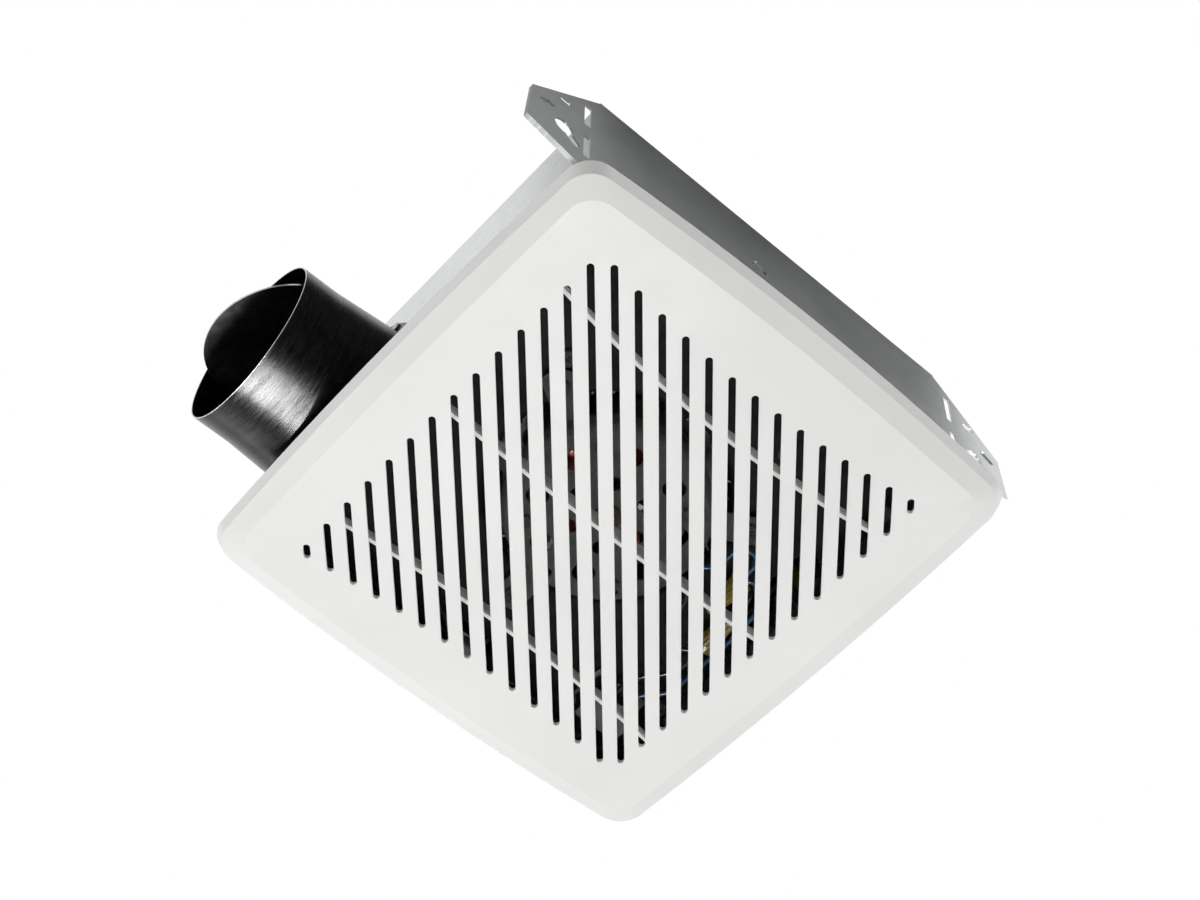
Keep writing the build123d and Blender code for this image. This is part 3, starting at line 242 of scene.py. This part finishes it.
def collar_steel(name, axis_y, axis_z):
    """Dark steel brushed round the duct's axis, which runs along X at the given Y and Z. Its near-black
    colour is partly painted shade: darker than the steel itself, standing for the dark surroundings it
    would mirror.
    """
    m = paint(name)
    x = m.split_place()
    angle = x.math("ARCTAN2", x.out("Z") - axis_z, x.out("Y") - axis_y)
    brushed = m.node("ShaderNodeCombineXYZ", values=(x * 2600.0, angle * 5.0, 0.0))
    fine = m.noise(brushed, 1.0, 4, 0.65)
    wide = m.noise(m.node("ShaderNodeCombineXYZ", values=(x * 420.0, angle * 1.5, 3.0)), 1.0, 2)
    scuffs = m.noise(m.place(), 90, 5, 0.6)
    tone = m.ramp(fine * 0.55 + wide * 0.3 + scuffs * 0.15, 0.35, 0.65)
    # Painted shade: the colours are kept near black, darker than the steel is, so the collar reads dark
    # away from its glint.
    colour = m.mix(tone, grey(0.004), grey(0.022))
    rough = m.ramp(fine, 0.3, 0.7, 0.20, 0.36)
    normal = m.bump(fine * 0.7 + wide * 0.3, 0.35, 0.00012)
    return m.surface(Base_Color=colour, Metallic=1.0, Roughness=rough, Normal=normal)


def metal(name, dark, light, rough=(0.25, 0.4), scale=300):
    """A plain metal with mottled tone, uneven gloss and a little bump."""
    m = paint(name)
    mottle = m.noise(m.place(), scale, 4, 0.6)
    tone = m.ramp(mottle, 0.3, 0.7)
    colour = m.mix(tone, (*dark, 1), (*light, 1))
    worn = m.ramp(m.noise(m.place(), scale * 0.3, 3), 0.3, 0.7, *rough)
    normal = m.bump(mottle, 0.12, 0.00006)
    return m.surface(Base_Color=colour, Metallic=1.0, Roughness=worn, Normal=normal)


def plastic(name, dark, light, rough=(0.35, 0.55), grain=0.15):
    """A plain plastic with slight tone changes and a moulded grain."""
    m = paint(name)
    tone = m.ramp(m.noise(m.place(), 40, 3), 0.3, 0.7)
    colour = m.mix(tone, (*dark, 1), (*light, 1))
    worn = m.ramp(m.noise(m.place(), 120, 3), 0.3, 0.7, *rough)
    normal = m.bump(m.noise(m.place(), 700, 2), grain, 0.0001)
    return m.surface(Base_Color=colour, Roughness=worn, Normal=normal)


def winding():
    """Enamelled wire wound in layers: fine ridges across the coil and a dark red sheen. Its colour carries
    painted shade along the ridges, lighter on their crests and darker between turns.
    """
    m = paint("winding")
    parts = m.split_place()
    ridges = parts.math("SINE", parts.out("Z") * 9000.0) * 0.5 + 0.5
    mottle = m.noise(m.place(), 500, 3)
    # Painted shade: the colour follows the ridges, lighter on their crests and darker between turns.
    tone = m.ramp(ridges * 0.6 + mottle * 0.4, 0.2, 0.8)
    colour = m.mix(tone, (0.13, 0.016, 0.010, 1), (0.46, 0.09, 0.05, 1))
    rough = m.ramp(mottle, 0.3, 0.7, 0.28, 0.45)
    normal = m.bump(ridges, 0.5, 0.0002)
    return m.surface(Base_Color=colour, Metallic=0.3, Roughness=rough, Normal=normal)


def laminations():
    """The edges of stacked steel sheets."""
    m = paint("laminations")
    parts = m.split_place()
    layers = parts.math("SINE", parts.out("Z") * 12566.0) * 0.5 + 0.5
    rust = m.noise(m.place(), 160, 4)
    colour = m.mix(m.ramp(rust * 0.7 + layers * 0.3, 0.3, 0.8), grey(0.10), (0.24, 0.22, 0.20, 1))
    rough = m.ramp(rust, 0.3, 0.7, 0.4, 0.6)
    normal = m.bump(layers, 0.4, 0.0002)
    return m.surface(Base_Color=colour, Metallic=0.8, Roughness=rough, Normal=normal)


def dull_inner_sheet(name, dark, light):
    """Sheet metal deep inside the housing: rough, with little gloss, and a tone mottled between the two
    colours it is given.
    """
    m = paint(name)
    dust = m.noise(m.place(), 120, 4, 0.6)
    colour = m.mix(m.ramp(dust, 0.3, 0.7), (*dark, 1), (*light, 1))
    rough = m.ramp(m.noise(m.place(), 40, 3), 0.3, 0.7, 0.6, 0.75)
    normal = m.bump(dust, 0.12, 0.00006)
    return m.surface(Base_Color=colour, Roughness=rough, Normal=normal, Specular_IOR_Level=0.05)


collar_low, collar_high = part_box("duct_collar")
duct_y = (collar_low[1] + collar_high[1]) / 2
duct_z = collar_high[2] - (collar_high[1] - collar_low[1]) / 2

finishes = {
    "grille_white": moulded_white(),
    "galvanised": galvanised(),
    "dark_steel": collar_steel("dark_brushed_steel", duct_y, duct_z),
    "zinc": metal("zinc", (0.30, 0.30, 0.29), (0.46, 0.455, 0.43), (0.3, 0.45)),
    "seal_rubber": plastic("seal_rubber", (0.018, 0.018, 0.018), (0.035, 0.035, 0.035), (0.6, 0.8)),
    "black_plastic": plastic("black_plastic", (0.012, 0.012, 0.013), (0.03, 0.03, 0.032), grain=0.5),
    "grey_plastic": plastic("grey_plastic", (0.055, 0.06, 0.058), (0.09, 0.095, 0.09)),
    "core_steel": laminations(),
    "copper": winding(),
    "bobbin_white": plastic("bobbin_white", (0.30, 0.29, 0.25), (0.40, 0.39, 0.34)),
    "bronze": metal("bronze", (0.09, 0.06, 0.03), (0.15, 0.10, 0.05), (0.35, 0.5)),
    "aluminium": metal("aluminium", (0.50, 0.51, 0.52), (0.68, 0.69, 0.70)),
    "polished_steel": metal("polished_steel", (0.52, 0.52, 0.52), (0.70, 0.70, 0.70), (0.12, 0.25)),
    "spring_steel": metal("spring_steel", (0.30, 0.30, 0.30), (0.50, 0.50, 0.49)),
    "wire_blue": plastic("wire_blue", (0.006, 0.08, 0.22), (0.012, 0.13, 0.31), (0.25, 0.4)),
    "wire_black": plastic("wire_black", (0.010, 0.010, 0.011), (0.02, 0.02, 0.02), (0.25, 0.4)),
    "wire_white": plastic("wire_white", (0.62, 0.61, 0.57), (0.74, 0.73, 0.70), (0.25, 0.4)),
    "wire_green": plastic("wire_green", (0.008, 0.12, 0.03), (0.02, 0.20, 0.06), (0.25, 0.4)),
    "nut_yellow": plastic("nut_yellow", (0.36, 0.27, 0.012), (0.48, 0.38, 0.03), (0.3, 0.5)),
}
# Painted shade: the cup, the plate, the scroll, the bridge and the inner screws get colours far darker than
# their sheet and zinc, for the shade deep in the housing.
cup_sheet = dull_inner_sheet("cup_sheet", (0.15, 0.15, 0.147), (0.23, 0.23, 0.224))
shaded_sheet = dull_inner_sheet("shaded_sheet", (0.014, 0.014, 0.014), (0.030, 0.030, 0.029))
shaded_screw = dull_inner_sheet("shaded_screw", (0.10, 0.10, 0.098), (0.17, 0.17, 0.165))
dull_bronze = dull_inner_sheet("dull_bronze", (0.10, 0.078, 0.052), (0.14, 0.112, 0.078))
flap_steel = metal("flap_steel", (0.030, 0.030, 0.032), (0.075, 0.075, 0.078), (0.3, 0.45), 200)
own_finishes = {
    "motor_cup": cup_sheet,
    "blower_plate": shaded_sheet,
    "blower_scroll": shaded_sheet,
    "bearing_bridge": shaded_sheet,
    "plate_screws": shaded_screw,
    "scroll_screws": shaded_screw,
    "cup_screws": shaded_screw,
    "motor_bolts": shaded_screw,
    "motor_nuts": shaded_screw,
    "lower_bearing": dull_bronze,
    "damper_flap": flap_steel,
}
# Bright bare metal for cut edges, also used as a painted highlight along the collar's rim.
edge_wear_and_highlight = metal("edge_wear_and_highlight", (0.45, 0.45, 0.45), (0.66, 0.66, 0.66), (0.22, 0.35))
slot_of = {part["node"]: part["material_slot"] for part in frame["record"]["subparts"]}
body_of = {n: b for b, members in frame["record"]["behaviour"]["bodies"].items() for n in members}


def finish_piece(piece, node):
    """Gives a piece the finish and the moving body of a CAD node."""
    piece.data.materials.clear()
    piece.data.materials.append(own_finishes.get(node, finishes[slot_of[node]]))
    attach(piece, body_of[node])


def object_from(mesh, name, node):
    """An object made from an edited mesh, finished like a CAD node."""
    for face in mesh.faces:
        face.smooth = True
    for edge in mesh.edges:
        edge.smooth = len(edge.link_faces) != 2 or edge.calc_face_angle(0) < sharp_angle
    data = bpy.data.meshes.new(name)
    mesh.to_mesh(data)
    mesh.free()
    piece = bpy.data.objects.new(name, data)
    bpy.context.scene.collection.objects.link(piece)
    finish_piece(piece, node)
    return piece


def dressed(node, bevel=sheet_bevel, limit=sharp_angle):
    """A smooth copy of a CAD node with its sharp edges rounded, which stands for that node."""
    mesh = bmesh.new()
    mesh.from_mesh(nodes[node].data)
    bmesh.ops.remove_doubles(mesh, verts=mesh.verts, dist=weld_distance)
    sharp = [e for e in mesh.edges if len(e.link_faces) == 2 and e.calc_face_angle(0) > limit]
    bmesh.ops.bevel(
        mesh, geom=sharp, offset=bevel, segments=2, profile=0.5, affect="EDGES", clamp_overlap=True
    )
    piece = object_from(mesh, node + "_shape", node)
    modifier = piece.modifiers.new("even_normals", "WEIGHTED_NORMAL")
    modifier.keep_sharp = True
    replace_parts(piece, node)
    return piece


def sweep_tube(mesh, points, radius, closed=False, sides=8):
    """Adds a round tube along points to a mesh."""
    points = [Vector(point) for point in points]
    count = len(points)
    rings = []
    across = None
    for index, point in enumerate(points):
        if closed:
            along = points[(index + 1) % count] - points[index - 1]
        else:
            along = points[min(index + 1, count - 1)] - points[max(index - 1, 0)]
        along.normalize()
        if across is None:
            across = along.orthogonal().normalized()
        across = (across - along * across.dot(along)).normalized()
        side = along.cross(across)
        ring = []
        for step in range(sides):
            angle = 2 * math.pi * step / sides
            outward = math.cos(angle) * across + math.sin(angle) * side
            ring.append(mesh.verts.new(point + radius * outward))
        rings.append(ring)
    for index in range(count if closed else count - 1):
        first, second = rings[index], rings[(index + 1) % count]
        for step in range(sides):
            after = (step + 1) % sides
            mesh.faces.new((first[step], first[after], second[after], second[step]))
    if not closed:
        mesh.faces.new(rings[0][::-1])
        mesh.faces.new(rings[-1])


def brighten_edge_faces(piece, is_edge):
    """Gives a dark piece's chosen faces a bright metal finish, face by face."""
    piece.data.materials.append(edge_wear_and_highlight)
    for face in piece.data.polygons:
        if is_edge(face):
            face.material_index = 1


moulded = ("motor_plug", "receptacle", "cable_bushing", "coil_bobbins")
plain = [name for name in nodes if name not in ("grille", "wire_nuts", "spring_coils")]
pieces = {name: dressed(name, moulded_bevel if name in moulded else sheet_bevel) for name in plain}
dressed("grille", grille_bevel, crease_angle)

collar_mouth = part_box("duct_collar")[0][0]
# The collar's mouth band is bare metal and partly a painted highlight for the rolled rim.
brighten_edge_faces(pieces["duct_collar"], lambda face: face.center.x < collar_mouth + rim_band)
flap_faces = pieces["damper_flap"].data.polygons
flap_normal = max(flap_faces, key=lambda face: face.area).normal.copy()
brighten_edge_faces(pieces["damper_flap"], lambda face: abs(face.normal.dot(flap_normal)) < edge_slant)

# Torsion springs: a turn of wire round each pin between the legs' end rings
coil_low, coil_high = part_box("spring_coils")
coil_radius = (coil_high[0] - coil_low[0]) / 2 - spring_wire
coil_middle = (coil_low[2] + coil_high[2]) / 2
coils = bmesh.new()
for edge_y, inward in ((coil_low[1], 1), (coil_high[1], -1)):
    turn_points = []
    for step in range(coil_steps + 1):
        angle = 2 * math.pi * coil_turns * step / coil_steps
        y = edge_y + inward * (spring_wire + (coil_width - 2 * spring_wire) * step / coil_steps)
        turn_points.append((coil_radius * math.sin(angle), y, coil_middle + coil_radius * math.cos(angle)))
    sweep_tube(coils, turn_points, spring_wire)
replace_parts(object_from(coils, "spring_turns", "spring_coils"), "spring_coils")


def lobed_ring(mesh, plane, along, radius, depth=0.0):
    """Adds a ring of vertices round a plane's own Z, drawn in by a depth between the nuts' ribs."""
    ring = []
    for step in range(nut_sides):
        angle = 2 * math.pi * step / nut_sides
        reach = radius - depth * (1 - math.cos(nut_ribs * angle)) / 2
        corner = Vector((reach * math.cos(angle), reach * math.sin(angle), along))
        ring.append(mesh.verts.new(plane @ corner))
    return ring


# Wire nuts: a plain skirt at the mouth, then ribs that fade out at the tip
nuts = bmesh.new()
for mouth, direction in nut_mouths:
    plane = Matrix.Translation(mouth) @ Vector(direction).to_track_quat("Z", "Y").to_matrix().to_4x4()
    rings = [lobed_ring(nuts, plane, nut_bore_depth, nut_bore), lobed_ring(nuts, plane, 0, nut_bore)]
    for share, depth in nut_stations:
        radius = nut_radius + (nut_tip - nut_radius) * share
        rings.append(lobed_ring(nuts, plane, nut_length * share, radius, depth))
    nuts.faces.new(rings[0])
    for first, second in zip(rings, rings[1:]):
        for step in range(nut_sides):
            after = (step + 1) % nut_sides
            nuts.faces.new((first[step], first[after], second[after], second[step]))
    nuts.faces.new(rings[-1])
bmesh.ops.recalc_face_normals(nuts, faces=nuts.faces)
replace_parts(object_from(nuts, "ribbed_nuts", "wire_nuts"), "wire_nuts")

# Field windings: turns of wire round each pole, over the coils' plain blocks
windings = bmesh.new()
for quarter in range(4):
    pole = Matrix.Translation(pole_centre) @ Matrix.Rotation(quarter * math.pi / 2, 4, "Z")
    for turn_index in range(winding_turns):
        reach = winding_start + turn_index * winding_pitch
        loop = []
        for corner in range(4):
            side_y = 1 if corner in (0, 3) else -1
            side_z = 1 if corner in (0, 1) else -1
            centre_y = side_y * (winding_half_width - winding_corner)
            centre_z = side_z * (winding_half_height - winding_corner)
            for step in range(winding_corner_steps):
                angle = (corner + step / (winding_corner_steps - 1)) * math.pi / 2
                y = centre_y + winding_corner * math.cos(angle)
                z = centre_z + winding_corner * math.sin(angle)
                loop.append(pole @ Vector((reach, y, z)))
        sweep_tube(windings, loop, winding_wire, closed=True, sides=6)
object_from(windings, "winding_turns", "field_coils")

# Camera, whose pose is stated as the photograph's: X to the right and Y down in the picture
turn = Vector(camera_turn)
world_to_camera = Quaternion(turn.normalized(), turn.length).to_matrix()
camera_data = bpy.data.cameras.new("camera")
camera_data.sensor_width = sensor_width
camera_data.lens = focal_pixels / photo_width * sensor_width
camera_data.clip_end = 50
camera = bpy.data.objects.new("camera", camera_data)
camera.location = -(world_to_camera.transposed() @ Vector(camera_shift))
camera.rotation_euler = (world_to_camera.transposed() @ Matrix.Diagonal((1, -1, -1))).to_euler()
bpy.context.scene.collection.objects.link(camera)
bpy.context.scene.camera = camera


def face_towards(made, place, aim):
    """Puts a lamp or a card at a place with its front towards a point, as part of the studio."""
    made.location = place
    made.rotation_euler = (Vector(aim) - Vector(place)).to_track_quat("-Z", "Y").to_euler()
    bpy.context.scene.collection.objects.link(made)


def lamp(name, place, aim, size, power, sheen_only=False):
    """A soft area lamp. One for sheen lights no matt surface."""
    data = bpy.data.lights.new(name, "AREA")
    data.shape = "RECTANGLE"
    data.size, data.size_y = size
    data.energy = power
    made = bpy.data.objects.new(name, data)
    made.visible_diffuse = not sheen_only
    face_towards(made, place, aim)


def card(name, place, aim, size, finish):
    """A flat studio card that only reflections see."""
    half_x, half_y = size[0] / 2, size[1] / 2
    data = bpy.data.meshes.new(name)
    corners = [(-half_x, -half_y, 0), (half_x, -half_y, 0), (half_x, half_y, 0), (-half_x, half_y, 0)]
    data.from_pydata(corners, [], [(0, 1, 2, 3)])
    data.materials.append(finish)
    made = bpy.data.objects.new(name, data)
    made.visible_camera = False
    made.visible_diffuse = False
    made.visible_shadow = False
    face_towards(made, place, aim)


def glow(name, low, high, start, end, across=False):
    """A card's own light, which runs from one strength to another up or across the card."""
    m = paint(name)
    parts = m.split_place()
    along = parts if across else parts.out("Y")
    strength = m.ramp(along, low, high, start, end)
    return m.surface(
        Base_Color=grey(0), Roughness=1.0, Emission_Color=m.evenly(strength), Emission_Strength=1.0
    )


duct_middle = ((collar_low[0] + collar_high[0]) / 2, duct_y, duct_z)
lamp("key", (-1.2, 1.0, -1.0), (0, 0, 0), (0.9, 0.9), 21)
lamp("fill", (1.3, -0.1, -0.9), (0, 0, 0), (0.9, 0.9), 12)
lamp("lip_fill", (0.3, -1.2, 0.35), (0, 0, 0), (0.8, 0.5), 5)
lamp("duct_glint", (0.118, 0.103, -0.925), duct_middle, (0.8, 0.08), 54, sheen_only=True)
lamp("duct_sheen", (0.12, 1.0, -0.3), duct_middle, (0.6, 0.6), 3.5, sheen_only=True)

# Cards whose reflections shade the metal: two beside the ears' wall, one beside the duct's wall,
# and one that keeps the collar dark
wall_glow = glow("wall_glow", -0.12, -0.07, 0.20, 0.01)
card("wall_card", (0.07, -0.16, 0.3), (0.07, 0, 0.3), (0.24, 0.8), wall_glow)
ear_glow = glow("ear_glow", -0.12, -0.07, 0.30, 0.16)
card("ear_card", (-0.25, -0.16, 0.3), (-0.25, 0, 0.3), (0.4, 0.8), ear_glow)
duct_wall_glow = glow("duct_wall_glow", -0.20, -0.13, 0.85, 0.10, across=True)
card("duct_wall_card", (-0.16, -0.19, 0.3), (0, -0.19, 0.3), (0.42, 0.8), duct_wall_glow)
black_paint = paint("black_card").surface(Base_Color=grey(0.02), Roughness=0.9)
card("collar_card", (0.06, -0.6, -0.3), (-0.12, 0.03, 0.02), (0.8, 0.7), black_paint)


def shown_white(shader):
    """One for the rays that show the surroundings: straight from the camera, mirrored or bent."""
    rays = shader.node("ShaderNodeLightPath", output="Is Camera Ray")
    mirrored = rays.math("MAXIMUM", rays, rays.out("Is Glossy Ray"))
    return rays.math("MAXIMUM", mirrored, rays.out("Is Transmission Ray"))


# Floor and white surroundings
floor_data = bpy.data.meshes.new("floor")
floor_sides = ((-1, -1), (1, -1), (1, 1), (-1, 1))
floor_corners = [(floor_half * x, floor_half * y, floor_height) for x, y in floor_sides]
floor_data.from_pydata(floor_corners, [], [(0, 1, 2, 3)])
floor = bpy.data.objects.new("floor", floor_data)
bpy.context.scene.collection.objects.link(floor)
floor_paint = paint("floor_paint")
floor_white = shown_white(floor_paint) * floor_glow
floor_colour = floor_paint.evenly(floor_white)
floor_paint.surface(Base_Color=grey(0.8), Roughness=0.9, Emission_Color=floor_colour, Emission_Strength=1.0)
floor_data.materials.append(floor_paint.data)

bpy.context.scene.world = bpy.data.worlds.new("surroundings")
air = Shader(bpy.context.scene.world)
dim = air.node("ShaderNodeBackground", values={"Color": grey(1), "Strength": room_glow})
white = air.node("ShaderNodeBackground", values={"Color": grey(1), "Strength": 1.0})
seen = air.node("ShaderNodeMixShader", values=(shown_white(air), dim, white))
air.node("ShaderNodeOutputWorld", values=(seen,))
bpy.context.scene.view_settings.view_transform = "Standard"
